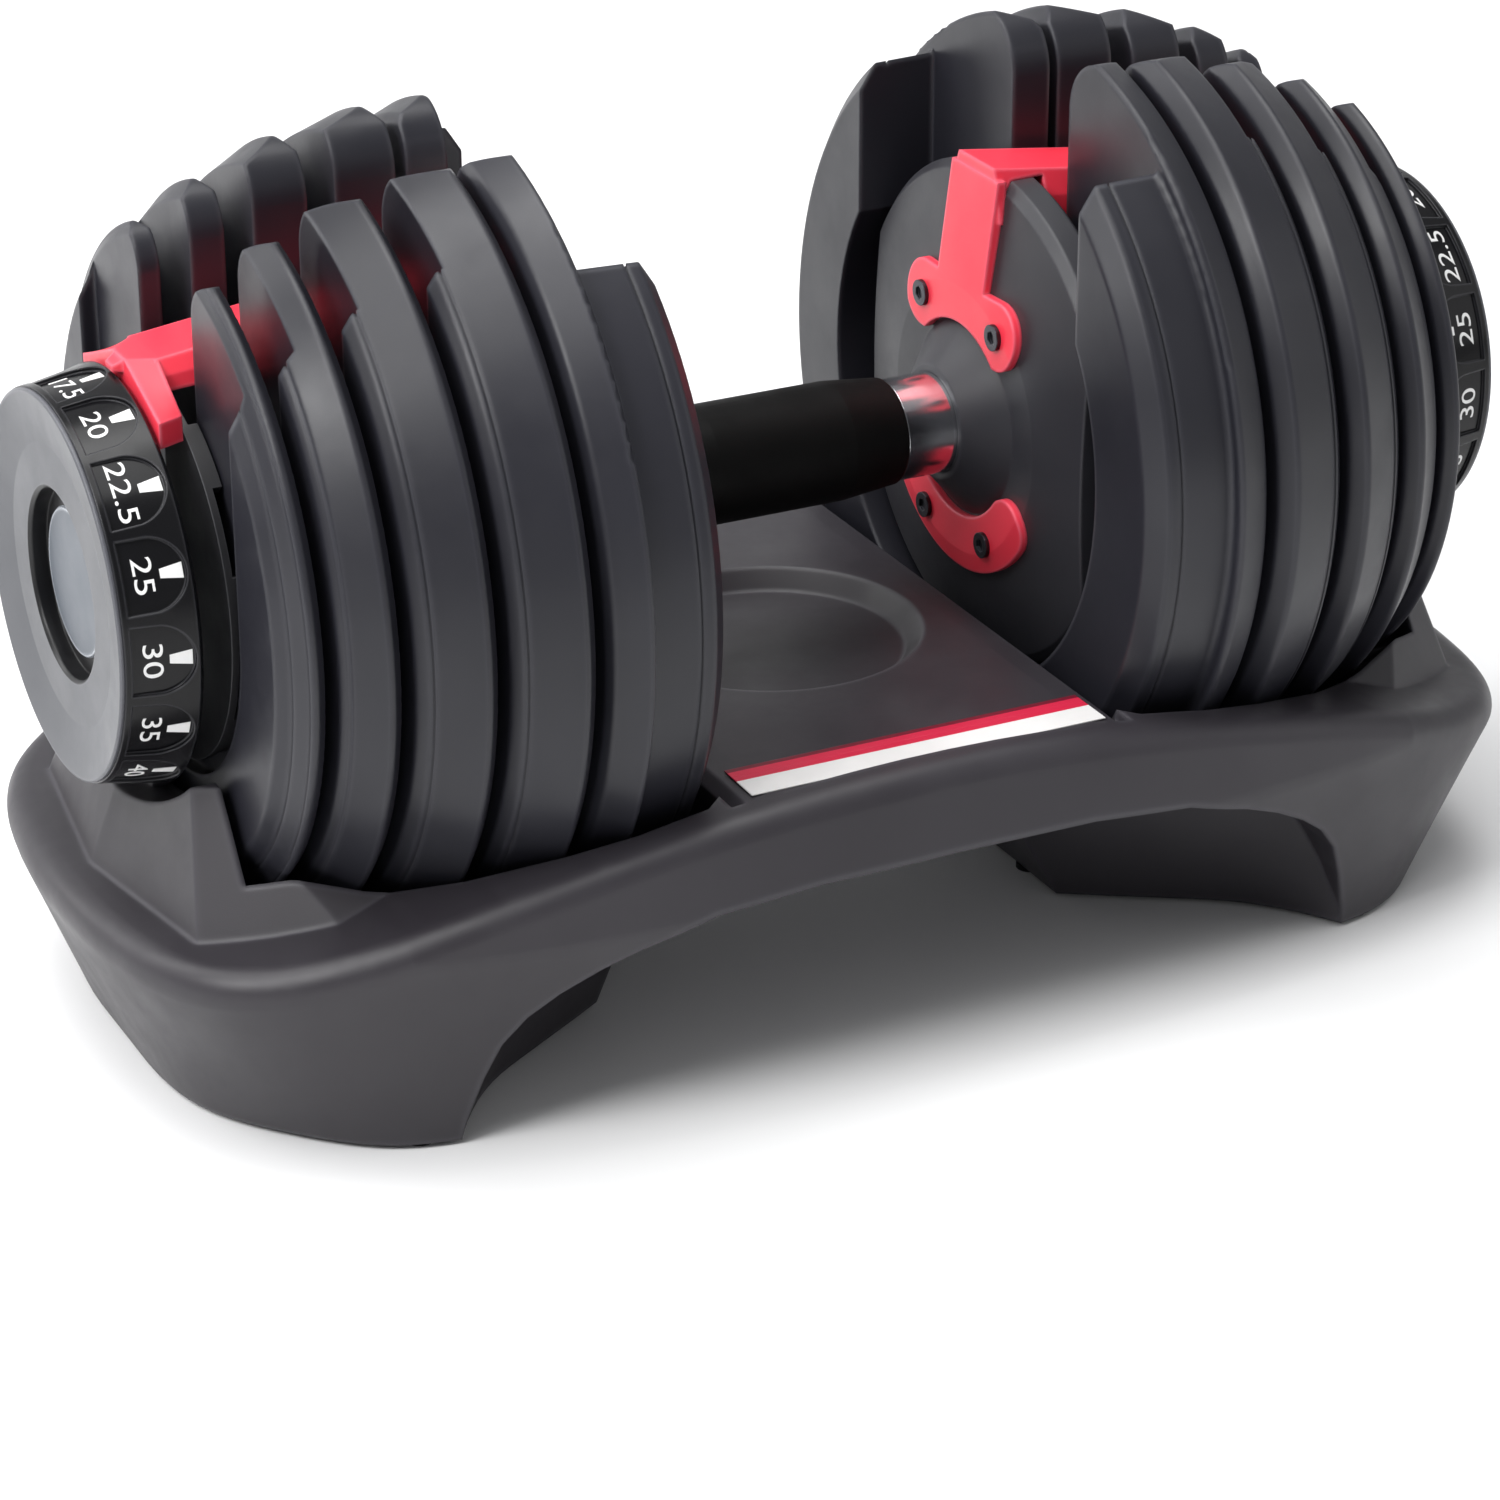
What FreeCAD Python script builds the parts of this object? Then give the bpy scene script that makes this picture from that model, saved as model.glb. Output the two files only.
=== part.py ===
"""Adjustable dumbbell in its cradle: FreeCAD 1.1 macro, millimetres.

The handle lies along X, its middle over the origin, and the cradle stands on Z = 0.
Everything on the +X end is built once and mirrored to the -X end.
"""
import FreeCAD
import Part
import Sketcher
import math
import os
from types import SimpleNamespace
from FreeCAD import Placement, Rotation, Vector

doc = FreeCAD.newDocument("adjustable_dumbbell")


# ------------------------------------------------------------------ sizes
SIZES = [
    # the handle and its grip
    ("axis_height", 131.6),
    ("grip_half_length", 36.8),
    ("grip_end_radius", 14.7),
    ("grip_middle_radius", 16.4),
    ("grip_swell_half", 20.0),
    ("tube_radius", 12.7),
    ("collar_radius", 14.0),
    ("tube_bore_radius", 10.2),
    ("tube_half_length", 66.0),
    # the inner discs, which carry the bridge and guide the plates
    ("hub_start", 51.5),
    ("hub_small_radius", 16.0),
    ("hub_large_radius", 27.0),
    ("disc_face", 61.0),
    ("disc_face_radius", 38.0),
    ("disc_edge_face", 65.7),
    ("disc_back", 76.5),
    ("disc_radius", 70.0),
    ("disc_flat_half", 58.0),
    ("disc_bevel", 2.5),
    # the bridge over the plates, its strap and the lower bracket
    ("bracket_thickness", 2.3),
    ("bridge_end", 172.9),
    ("bridge_top_start", 204.5),
    ("bridge_top_end", 190.6),
    ("bridge_bottom_start", 190.0),
    ("bridge_bottom_end", 183.2),
    ("bridge_top_half", 9.5),
    ("bridge_bottom_half", 13.4),
    ("flare_start", 171.8),
    ("flare_end", 178.8),
    ("flare_top_half", 4.0),
    ("flare_half", 28.0),
    ("flare_corner_height", 181.0),
    ("flare_bottom_height", 174.5),
    ("pointer_tip", 181.4),
    ("pointer_half", 2.4),
    ("pointer_bottom", 186.4),
    ("strap_half", 12.5),
    ("lug_screw_y", 20.1),
    ("lug_screw_rise", 29.8),
    ("lug_radius", 9.5),
    ("hub_clear_radius", 27.6),
    ("kidney_outer_radius", 43.5),
    ("kidney_half_angle", 50.0),
    ("kidney_screw_y", 16.5),
    ("kidney_screw_drop", 31.5),
    ("screw_radius", 1.9),
    ("screw_head_radius", 3.6),
    ("screw_head_height", 1.2),
    ("screw_end", 70.0),
    ("strap_layer_radius", 74.0),
    ("kidney_layer_radius", 60.0),
    # the dial at each end
    ("ring_back", 179.5),
    ("ring_front", 198.8),
    ("ring_back_radius", 54.0),
    ("ring_front_radius", 50.7),
    ("ring_wall", 2.6),
    ("ring_web", 2.5),
    ("ring_hub_radius", 14.0),
    ("ring_hub_end", 186.0),
    ("pocket_depth", 1.1),
    ("pocket_half", 9.2),
    ("pocket_end", 197.0),
    ("pocket_shoulder", 189.5),
    ("pocket_tip", 181.4),
    ("first_number_angle", -4.0),
    ("cap_front", 200.0),
    ("cap_back", 194.4),
    ("cap_radius", 50.3),
    ("cap_spigot_radius", 48.0),
    ("cap_edge", 0.7),
    ("cap_face_radius", 36.5),
    ("cap_dish", 2.4),
    ("pit_radius", 24.6),
    ("pit_depth", 7.4),
    ("pit_wall", 1.8),
    ("button_radius", 19.5),
    ("button_height", 1.6),
    # the selector shaft and its discs
    ("shaft_start", 67.5),
    ("journal_radius", 6.5),
    ("journal_clearance", 0.06),
    ("hexagon_start", 77.0),
    ("hexagon_end", 172.9),
    ("hexagon_radius", 8.0),
    ("shaft_end", 190.5),
    ("nut_radius", 9.0),
    ("selector_radius", 50.0),
    ("selector_web", 2.0),
    ("selector_gap", 0.6),
    ("lip_inner_radius", 46.2),
    ("lip_half_angle", 11.0),
    ("selector_hub_radius", 12.5),
    ("tab_half_width", 4.0),
    ("tab_top_radius", 40.5),
    ("tab_bottom_radius", 45.2),
    ("detent_circle_radius", 34.0),
    ("detent_nose_radius", 1.8),
    ("detent_dimple_depth", 0.6),
    # the end bearing that hangs below the bridge
    ("bearing_start", 173.5),
    ("bearing_end", 177.9),
    ("bearing_half_width", 16.0),
    ("bearing_bottom", 86.0),
    ("bearing_top", 181.0),
    ("bearing_screw_y", 10.0),
    ("bearing_screw_height", 178.0),
    ("bearing_screw_radius", 1.5),
    ("bearing_head_radius", 2.6),
    ("lock_pin_radius", 1.2),
    ("lock_pin_bottom", 80.4),
    ("lock_pin_length", 18.0),
    ("lock_bore_top", 114.0),
    ("lock_clearance", 0.06),
    ("lock_post_half", 5.0),
    ("lock_post_gap", 0.3),
    # all plates
    ("channel_half", 54.0),
    ("channel_depth", 4.5),
    ("inner_channel_half", 60.0),
    ("inner_channel_radius", 72.5),
    ("horn_face", 82.9),
    ("core_slot_extra", 2.5),
    ("seam_width", 0.7),
    ("rim_rounding", 1.2),
    ("rim_slope", 3.6),
    ("rim_chamfer", 2.5),
    ("rim_chamfer_drop", 3.0),
    ("arm_bevel", 4.5),
    ("arm_bevel_rise", 5.5),
    ("arm_rise", 6.0),
    ("arm_core_gap", 3.0),
    ("arm_tab_reach", 3.2),
    # the cradle
    ("foot_line", 1.5),
    ("pad_radius", 4.0),
    ("deck_height", 82.0),
    ("deck_half_length", 53.0),
    ("deck_half_width", 97.0),
    ("dish_radius", 42.0),
    ("dish_floor_radius", 37.0),
    ("dish_depth", 5.5),
    ("trough_start", 57.0),
    ("trough_clearance", 1.2),
    ("trough_wall", 4.0),
    ("rim_radius", 7.0),
    ("foot_hollow", 17.0),
    ("wall_start", 173.5),
    ("dial_clear_radius", 58.5),
    ("label_half_length", 51.5),
    ("label_thickness", 0.3),
    ("label_back", 79.5),
    ("label_split", 84.0),
    ("label_front", 95.5),
]

# Each plate: inner face, thickness, its rim radius at the inner edge, at its widest
# and at the outer edge, half the width of its slot, the rounding of its two horns, and
# its steel core's radius and thickness.
PLATES = {
    1: dict(inner_face=160.2, thickness=10.3, edge_in=84.5, rim=87.5, edge_out=79.0,
            slot_half=19.0, horn_rounding=11.0, core_radius=71.0, core_thickness=3.6),
    2: dict(inner_face=143.4, thickness=13.8, edge_in=91.5, rim=95.5, edge_out=88.0,
            slot_half=17.0, horn_rounding=12.4, core_radius=78.0, core_thickness=6.0),
    3: dict(inner_face=121.2, thickness=19.3, edge_in=98.5, rim=103.0, edge_out=95.0,
            slot_half=16.0, horn_rounding=14.0, core_radius=88.0, core_thickness=11.0),
    4: dict(inner_face=97.1, thickness=21.1, edge_in=102.5, rim=107.0, edge_out=101.0,
            slot_half=15.5, horn_rounding=14.5, core_radius=91.0, core_thickness=11.0),
    5: dict(inner_face=60.0, thickness=34.1, edge_in=97.0, rim=108.0, edge_out=104.0,
            slot_half=15.0, horn_rounding=15.0, core_radius=97.0, core_thickness=8.5),
}
# The fine grooves round each plate's rim: distance from the inner face, and how far the
# groove's bottom lies below the widest part of the rim.
SEAMS = {1: ((4.4, 2.0), (7.0, 6.7)), 2: ((11.6, 7.7),), 3: ((15.4, 6.9),), 4: ((17.2, 5.1),),
         5: ((8.0, 6.0),)}

# The dial's settings in the order they come to the pointer, and the plates that
# each one picks up.
SETTINGS = [
    ("5", ()),
    ("7.5", (1,)),
    ("10", (2,)),
    ("12.5", (1, 2)),
    ("15", (3,)),
    ("17.5", (1, 3)),
    ("20", (2, 3)),
    ("22.5", (1, 2, 3)),
    ("25", (5,)),
    ("30", (2, 5)),
    ("35", (3, 5)),
    ("40", (2, 3, 5)),
    ("45", (3, 4, 5)),
    ("50", (2, 3, 4, 5)),
    ("52.5", (1, 2, 3, 4, 5)),
]
REST_SETTING = [name for name, picked in SETTINGS].index("17.5")
SETTING_PITCH = 360.0 / len(SETTINGS)


class Size:
    """A number together with the sheet formula that gives it."""

    def __init__(self, value, text):
        self.value = float(value)
        self.text = text

    @staticmethod
    def of(other):
        return other if isinstance(other, Size) else Size(other, repr(float(other)))

    def __add__(self, other):
        other = Size.of(other)
        return Size(self.value + other.value, f"({self.text} + {other.text})")

    def __sub__(self, other):
        other = Size.of(other)
        return Size(self.value - other.value, f"({self.text} - {other.text})")

    def __mul__(self, other):
        other = Size.of(other)
        return Size(self.value * other.value, f"({self.text} * {other.text})")

    def __rsub__(self, other):
        return Size.of(other) - self

    def __neg__(self):
        return Size(-self.value, f"(-1 * {self.text})")

    __radd__ = __add__
    __rmul__ = __mul__


def make_sheet():
    """Put every driving size in the sheet, and return them as named values."""
    sheet = doc.addObject("Spreadsheet::Sheet", "Sizes")
    rows = list(SIZES)
    for number, sizes in PLATES.items():
        rows += [(f"plate{number}_{name}", value) for name, value in sizes.items()]
    named = SimpleNamespace()
    for row, (alias, value) in enumerate(rows, start=1):
        sheet.set(f"A{row}", alias.replace("_", " "))
        sheet.set(f"B{row}", str(value))
        sheet.setAlias(f"B{row}", alias)
        setattr(named, alias, Size(value, f"Sizes.{alias}"))
    doc.recompute()
    return named


S = make_sheet()


def plate_size(number, name):
    return getattr(S, f"plate{number}_{name}")


def plate_outer_face(number):
    return plate_size(number, "inner_face") + plate_size(number, "thickness")


# ------------------------------------------------------------------ building blocks
def bind(item, sizes):
    for path, size in sizes.items():
        item.setExpression(path, Size.of(size).text)


def place(item, x, y, z):
    bind(item, {"Placement.Base.x": x, "Placement.Base.y": y, "Placement.Base.z": z})


def box(name, x, y, z):
    """A block between the two ends given along each axis."""
    item = doc.addObject("Part::Box", name)
    x, y, z = [[Size.of(end) for end in ends] for ends in (x, y, z)]
    bind(item, {"Length": x[1] - x[0], "Width": y[1] - y[0], "Height": z[1] - z[0]})
    place(item, x[0], y[0], z[0])
    return item


def cylinder_x(name, radius, x, y=0.0, z=None, angle=None, turn=0.0):
    """A cylinder along X; with an angle it is a sector that starts at turn."""
    item = doc.addObject("Part::Cylinder", name)
    along_x = Rotation(Vector(0, 1, 0), 90)
    item.Placement = Placement(Vector(), Rotation(Vector(1, 0, 0), turn) * along_x)
    x = [Size.of(end) for end in x]
    bind(item, {"Radius": radius, "Height": x[1] - x[0]})
    if angle is not None:
        bind(item, {"Angle": angle})
    place(item, x[0], y, S.axis_height if z is None else z)
    return item


def cylinder_z(name, radius, x, y, z):
    item = doc.addObject("Part::Cylinder", name)
    z = [Size.of(end) for end in z]
    bind(item, {"Radius": radius, "Height": z[1] - z[0]})
    place(item, x, y, z[0])
    return item


def cone_x(name, start_radius, end_radius, x):
    item = doc.addObject("Part::Cone", name)
    item.Placement = Placement(Vector(), Rotation(Vector(0, 1, 0), 90))
    x = [Size.of(end) for end in x]
    bind(item, {"Radius1": start_radius, "Radius2": end_radius, "Height": x[1] - x[0]})
    place(item, x[0], 0.0, S.axis_height)
    return item


def hexagon_x(name, circumradius, x):
    item = doc.addObject("Part::Prism", name)
    item.Polygon = 6
    item.Placement = Placement(Vector(), Rotation(Vector(0, 1, 0), 90))
    x = [Size.of(end) for end in x]
    bind(item, {"Circumradius": circumradius, "Height": x[1] - x[0]})
    place(item, x[0], 0.0, S.axis_height)
    return item


def fuse(name, *pieces):
    if len(pieces) == 1:
        return pieces[0]
    item = doc.addObject("Part::MultiFuse", name)
    item.Shapes = list(pieces)
    item.Refine = True
    return item


def cut(name, base, *tools):
    item = doc.addObject("Part::Cut", name)
    item.Base = base
    item.Tool = fuse(name + "_tools", *tools)
    item.Refine = True
    return item


def common(name, base, tool):
    item = doc.addObject("Part::Common", name)
    item.Base = base
    item.Tool = tool
    return item


def group(name, *pieces):
    item = doc.addObject("Part::Compound", name)
    item.Links = list(pieces)
    return item


def mirrored(name, source):
    """The same piece at the other end."""
    item = doc.addObject("Part::Mirroring", name)
    item.Source = source
    item.Normal = Vector(1, 0, 0)
    item.Base = Vector(0, 0, 0)
    return item


def feature(name, shape):
    item = doc.addObject("Part::Feature", name)
    item.Shape = shape
    return item


def origin_plane(body, role):
    return next(item for item in body.Origin.OriginFeatures if item.Role == role)


def draw_outline(sketch, points):
    """A closed outline of straight lines whose corners are all set by the sheet."""
    points = [(Size.of(across), Size.of(up)) for across, up in points]
    count = len(points)
    corners = [Vector(across.value, up.value, 0) for across, up in points]
    for index in range(count):
        following = corners[(index + 1) % count]
        sketch.addGeometry(Part.LineSegment(corners[index], following), False)
    for index in range(count):
        joint = Sketcher.Constraint("Coincident", index, 2, (index + 1) % count, 1)
        sketch.addConstraint(joint)
    for index, corner in enumerate(points):
        for kind, axis, size in (("DistanceX", -2, corner[0]), ("DistanceY", -1, corner[1])):
            if abs(size.value) < 1e-9:
                sketch.addConstraint(Sketcher.Constraint("PointOnObject", index, 1, axis))
                continue
            rule = Sketcher.Constraint(kind, -1, 1, index, 1, size.value)
            number = sketch.addConstraint(rule)
            sketch.setExpression(f"Constraints[{number}]", size.text)


def turned(name, outline, rounding=None, smallest=0.0):
    """A body turned about the handle's axis; the outline is (x, radius) corners."""
    body = doc.addObject("PartDesign::Body", name)
    sketch = body.newObject("Sketcher::SketchObject", name + "_outline")
    sketch.AttachmentSupport = (origin_plane(body, "XZ_Plane"), [""])
    sketch.MapMode = "FlatFace"
    draw_outline(sketch, outline)
    turn = body.newObject("PartDesign::Revolution", name + "_turn")
    turn.Profile = sketch
    turn.ReferenceAxis = (sketch, ["H_Axis"])
    turn.Angle = 360
    body.Tip = turn
    bind(body, {"Placement.Base.z": S.axis_height})
    if rounding is not None:
        doc.recompute()
        rims = [
            f"Edge{number}"
            for number, edge in enumerate(turn.Shape.Edges, start=1)
            if isinstance(edge.Curve, Part.Circle) and edge.Curve.Radius > smallest
        ]
        fillet = body.newObject("PartDesign::Fillet", name + "_rounding")
        fillet.Base = (turn, rims)
        bind(fillet, {"Radius": rounding})
        body.Tip = fillet
    return body


def polygon_wire(points):
    corners = [Vector(*point) for point in points]
    return Part.makePolygon(corners + corners[:1])


def coil_spring(radius, wire_radius, start, direction, length, turns):
    """A closed helical spring from start along direction."""
    path = Part.makeHelix(length / turns, length, radius)
    ring = Part.Wire(Part.makeCircle(wire_radius, Vector(radius, 0, 0), Vector(0, 1, 0)))
    spring = Part.Wire(path.Edges).makePipeShell([ring], True, True)
    spring.Placement = Placement(Vector(*start), Rotation(Vector(0, 0, 1), Vector(*direction)))
    return spring


def u_slot(name, half, x, radius=None):
    """A slot open to the top, with a round bottom about the handle's axis."""
    bottom = cylinder_x(name + "_round", half if radius is None else radius, x)
    walls = box(name + "_walls", x, (-half, half), (S.axis_height, S.axis_height + 130))
    return fuse(name, bottom, walls)


# ------------------------------------------------------------------ plates
def plate_outline(number):
    inner = plate_size(number, "inner_face")
    outer = plate_outer_face(number)
    edge_in, rim, edge_out = [plate_size(number, n) for n in ("edge_in", "rim", "edge_out")]
    if number == 5:
        return [(inner, 0), (inner, edge_in), (inner + S.arm_bevel, edge_in + S.arm_bevel_rise),
                (S.horn_face, edge_in + S.arm_rise), (S.horn_face, rim),
                (outer - S.rim_chamfer * 0.6, edge_out), (outer, edge_out - S.rim_chamfer),
                (outer, 0)]
    shoulder = edge_out + 1.0
    return [(inner, 0), (inner, edge_in), (inner + S.rim_slope, rim),
            (outer - S.rim_chamfer, shoulder), (outer, shoulder - S.rim_chamfer_drop), (outer, 0)]


def recess_floor(number):
    """Where the plate's outer recess ends; plate 5 has its recess on the inner side."""
    if number == 5:
        return S.horn_face
    return plate_outer_face(number) - S.channel_depth


def plate_core(number):
    """The steel disc inside the plate, with the tab that the selector lifts it by."""
    name = f"plate_{number}_core"
    inner = plate_size(number, "inner_face") if number < 5 else S.horn_face
    outer = recess_floor(number) if number < 5 else plate_outer_face(number)
    middle = (inner + outer) * 0.5
    half = plate_size(number, "core_thickness") * 0.5
    x = (middle - half, middle + half)
    slot = plate_size(number, "slot_half") + S.core_slot_extra
    steel = cylinder_x(name + "_disc", plate_size(number, "core_radius"), x)
    if number == 5:
        gap = S.arm_core_gap
        arms_x = (S.disc_face + gap, middle)
        arms = cylinder_x(name + "_arms", plate_size(number, "core_radius") - gap, arms_x)
        hollow = u_slot(name + "_hollow", S.inner_channel_half + S.core_slot_extra, arms_x,
                        S.inner_channel_radius + S.core_slot_extra)
        steel = fuse(name + "_blank", steel, cut(name + "_trimmed", arms, hollow))
        tab_x = (S.horn_face - S.arm_tab_reach, middle)
    else:
        tab_x = (middle, plate_outer_face(number) - S.selector_web)
    tab_z = (S.axis_height - S.tab_bottom_radius, S.axis_height - S.tab_top_radius)
    tab = box(name + "_tab", tab_x, (-S.tab_half_width, S.tab_half_width), tab_z)
    slot_x = (x[0] - 40, x[1] + 10)
    return cut(name, fuse(name + "_solid", steel, tab), u_slot(name + "_slot", slot, slot_x))


def horn_cutters(number):
    """Tools that round the two horns where the slot meets the rim."""
    half = plate_size(number, "slot_half")
    round_ = plate_size(number, "horn_rounding")
    rim = plate_size(number, "rim")
    reach = half.value + round_.value
    tip = math.sqrt(rim.value**2 - reach**2)
    height = S.axis_height + Size(tip, f"sqrt({rim.text}^2 - ({half.text} + {round_.text})^2)")
    x = (plate_size(number, "inner_face") - 1, plate_outer_face(number) + 1)
    tools = []
    for side, sign in (("front", -1), ("back", 1)):
        name = f"plate_{number}_horn_{side}"
        ends = sorted(((half - 0.5) * sign, (half + round_) * sign), key=lambda end: end.value)
        corner = box(name + "_corner", x, ends, (height - round_, height + 30))
        kept = cylinder_x(name + "_kept", round_, x, (half + round_) * sign, height - round_)
        tools.append(cut(name, corner, kept))
    return tools


def plate_shell(number, core):
    """The plastic plate round its steel core."""
    name = f"plate_{number}_shell"
    blank = turned(name + "_blank", plate_outline(number), rounding=S.rim_rounding, smallest=75.0)
    inner = plate_size(number, "inner_face")
    outer = plate_outer_face(number)
    slot = u_slot(name + "_slot", plate_size(number, "slot_half"), (inner - 1, outer + 1))
    if number == 5:
        channel = u_slot(name + "_channel", S.inner_channel_half, (inner - 1, S.horn_face),
                         S.inner_channel_radius)
    else:
        channel = u_slot(name + "_channel", S.channel_half, (recess_floor(number), outer + 1))
    seams = [seam_groove(number, index) for index in range(len(SEAMS[number]))]
    grooved = cut(name + "_grooved", blank, *seams)
    return cut(name, grooved, slot, channel, core, *horn_cutters(number))


def seam_groove(number, index):
    """A fine groove round the rim where the two halves of the shell meet."""
    name = f"plate_{number}_seam_{index}"
    offset, drop = SEAMS[number][index]
    start, rim = plate_size(number, "inner_face") + offset, plate_size(number, "rim")
    x = (start, start + S.seam_width)
    ring = cylinder_x(name + "_outside", rim + 10, x)
    return cut(name, ring, cylinder_x(name + "_inside", rim - drop, x))


# ------------------------------------------------------------------ selector and dial
def selected_runs(number):
    """First and last settings of each unbroken run that picks this plate up."""
    picked = [index for index, (name, plates) in enumerate(SETTINGS) if number in plates]
    runs = []
    for index in picked:
        if runs and index == runs[-1][1] + 1:
            runs[-1][1] = index
        else:
            runs.append([index, index])
    return runs


def selector_disc(number):
    """A disc whose rim lips pass beneath the plate's tab at the settings that use it."""
    name = f"selector_disc_{number}"
    gap, web = S.selector_gap, S.selector_web
    if number == 5:
        web_x = (S.disc_back + gap, S.disc_back + gap + web)
        lip_x = (web_x[1] - 0.5, S.horn_face - gap)
        hub_x = (web_x[0], S.horn_face + 8)
    else:
        outer = plate_outer_face(number)
        web_x = (outer + gap - web, outer + gap)
        lip_x = (recess_floor(number) + gap, web_x[0] + 0.5)
        hub_x = (recess_floor(number) - 3.0, web_x[1])
    pieces = [cylinder_x(name + "_web", S.selector_radius, web_x),
              cylinder_x(name + "_hub", S.selector_hub_radius, hub_x)]
    for index, (first, last) in enumerate(selected_runs(number)):
        start = (first - REST_SETTING) * SETTING_PITCH - S.lip_half_angle.value
        span = (last - first) * SETTING_PITCH + S.lip_half_angle * 2
        outside = cylinder_x(f"{name}_lip_{index}", S.selector_radius, lip_x, 0, None, span, start)
        pieces.append(outside)
    inside = cylinder_x(name + "_inside", S.lip_inner_radius, lip_x)
    lips = cut(name + "_lips", fuse(name + "_rims", *pieces[2:]), inside)
    blank = fuse(name + "_blank", pieces[0], pieces[1], lips)
    bore = hexagon_x(name + "_bore", S.hexagon_radius, (hub_x[0] - 1, hub_x[1] + 1))
    return cut(name, blank, bore)


def selector_shaft():
    name = "selector_shaft"
    inner = cylinder_x(name + "_inner", S.journal_radius, (S.shaft_start, S.hexagon_start))
    drive = hexagon_x(name + "_drive", S.hexagon_radius, (S.hexagon_start, S.hexagon_end))
    outer = cylinder_x(name + "_outer", S.journal_radius, (S.hexagon_end, S.shaft_end))
    return fuse(name, inner, drive, outer)


def shaft_nut():
    blank = hexagon_x("shaft_nut_blank", S.nut_radius, (S.ring_hub_end, S.shaft_end - 0.7))
    bore = cylinder_x("shaft_nut_bore", S.journal_radius, (S.ring_hub_end - 1, S.shaft_end))
    return cut("shaft_nut", blank, bore)


def number_pocket(index):
    """The arch-shaped pocket that one of the dial's numbers stands in."""
    half, shoulder, tip = [getattr(S, "pocket_" + n).value for n in ("half", "shoulder", "tip")]
    low, high = S.ring_front_radius.value - 6, S.ring_back_radius.value + 6
    open_end = S.pocket_end.value
    side = [Vector(open_end, y, low) for y in (-half, half)]
    arch = Part.Arc(Vector(shoulder, half, low), Vector(tip, 0, low), Vector(shoulder, -half, low))
    shoulders = [Vector(shoulder, y, low) for y in (half, -half)]
    edges = [Part.LineSegment(side[0], side[1]), Part.LineSegment(side[1], shoulders[0]), arch,
             Part.LineSegment(shoulders[1], side[0])]
    outline = Part.Wire([edge.toShape() for edge in edges])
    pocket = Part.Face(outline).extrude(Vector(0, 0, high - low))
    angle = index * SETTING_PITCH + S.first_number_angle.value
    pocket.rotate(Vector(0, 0, 0), Vector(1, 0, 0), angle)
    pocket.translate(Vector(0, 0, S.axis_height.value))
    return pocket


def dial_ring():
    """The skirt that carries the numbers, on a web and a hub that fits the shaft."""
    back, front, web = S.ring_back, S.ring_front, S.ring_back + S.ring_web
    outline = [(back, S.journal_radius), (back, S.ring_back_radius - 1.2),
               (back + 1.2, S.ring_back_radius), (front, S.ring_front_radius),
               (front, S.ring_front_radius - S.ring_wall),
               (web, S.ring_back_radius - S.ring_wall), (web, S.ring_hub_radius),
               (S.ring_hub_end, S.ring_hub_radius), (S.ring_hub_end, S.journal_radius)]
    blank = turned("dial_ring_blank", outline)
    dimples = []
    for index in range(len(SETTINGS)):
        angle = math.radians(index * SETTING_PITCH)
        dimple = cylinder_x(f"dimple_{index}", S.detent_nose_radius,
                            (back - 1, back + S.detent_dimple_depth),
                            S.detent_circle_radius * math.sin(angle),
                            S.axis_height + S.detent_circle_radius * math.cos(angle))
        dimples.append(dimple)
    pockets = feature("number_pockets", Part.Compound([number_pocket(index)
                                                       for index in range(len(SETTINGS))]))
    kept = cone_x("pocket_floor", S.ring_back_radius - S.pocket_depth,
                  S.ring_front_radius - S.pocket_depth, (back, front + 2))
    return cut("dial_ring", blank, cut("number_pocket_tools", pockets, kept), *dimples)


def dial_cap():
    """The closing cap: a dished face with a round pit in it, and a spigot that fits the ring."""
    lip, seat, back = S.cap_front, S.ring_front, S.cap_back
    face, floor = S.cap_front - S.cap_dish, S.cap_front - S.pit_depth
    cup = S.pit_radius + S.pit_wall
    outline = [(floor - S.pit_wall, 0), (floor - S.pit_wall, cup), (back, cup),
               (back, S.cap_spigot_radius), (seat, S.cap_spigot_radius), (seat, S.cap_radius),
               (lip - S.cap_edge * 0.5, S.cap_radius), (lip, S.cap_radius - S.cap_edge),
               (face, S.cap_face_radius), (face, S.pit_radius + 0.8),
               (face - 0.8, S.pit_radius), (floor, S.pit_radius), (floor, 0)]
    return turned("dial_cap", outline)


def dial_button():
    floor = S.cap_front - S.pit_depth
    top = floor + S.button_height
    outline = [(floor, 0), (floor, S.button_radius), (top - 0.5, S.button_radius),
               (top, S.button_radius - 0.5), (top, 0)]
    return turned("dial_button", outline)


# ------------------------------------------------------------------ handle
def handle_tube():
    """The steel tube, stepped up to a bright collar beyond each end of the grip."""
    end, step = S.tube_half_length, S.grip_half_length
    bore, tube, collar = S.tube_bore_radius, S.tube_radius, S.collar_radius
    outline = [(-end, bore), (-end, collar), (-step, collar), (-step, tube), (step, tube),
               (step, collar), (end, collar), (end, bore)]
    return turned("handle_tube", outline)


def grip():
    end, swell = S.grip_half_length, S.grip_swell_half
    narrow, wide, tube = S.grip_end_radius, S.grip_middle_radius, S.tube_radius
    outline = [(-end, tube), (-end, narrow - 0.6), (-end + 0.8, narrow), (-swell, wide),
               (swell, wide), (end - 0.8, narrow), (end, narrow - 0.6), (end, tube)]
    return turned("grip", outline)


def face_shell(name, radius):
    """A layer as thick as the brackets, lying on the inner disc's dished face."""
    near, face, edge = S.disc_face_radius, S.disc_face, S.disc_edge_face
    front = S.bracket_thickness
    outline = [(face - front, S.hub_clear_radius), (face - front, near), (edge - front, radius),
               (edge, radius), (edge, S.disc_radius - S.disc_bevel), (face, near),
               (face, S.hub_clear_radius)]
    return turned(name, outline)


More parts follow.
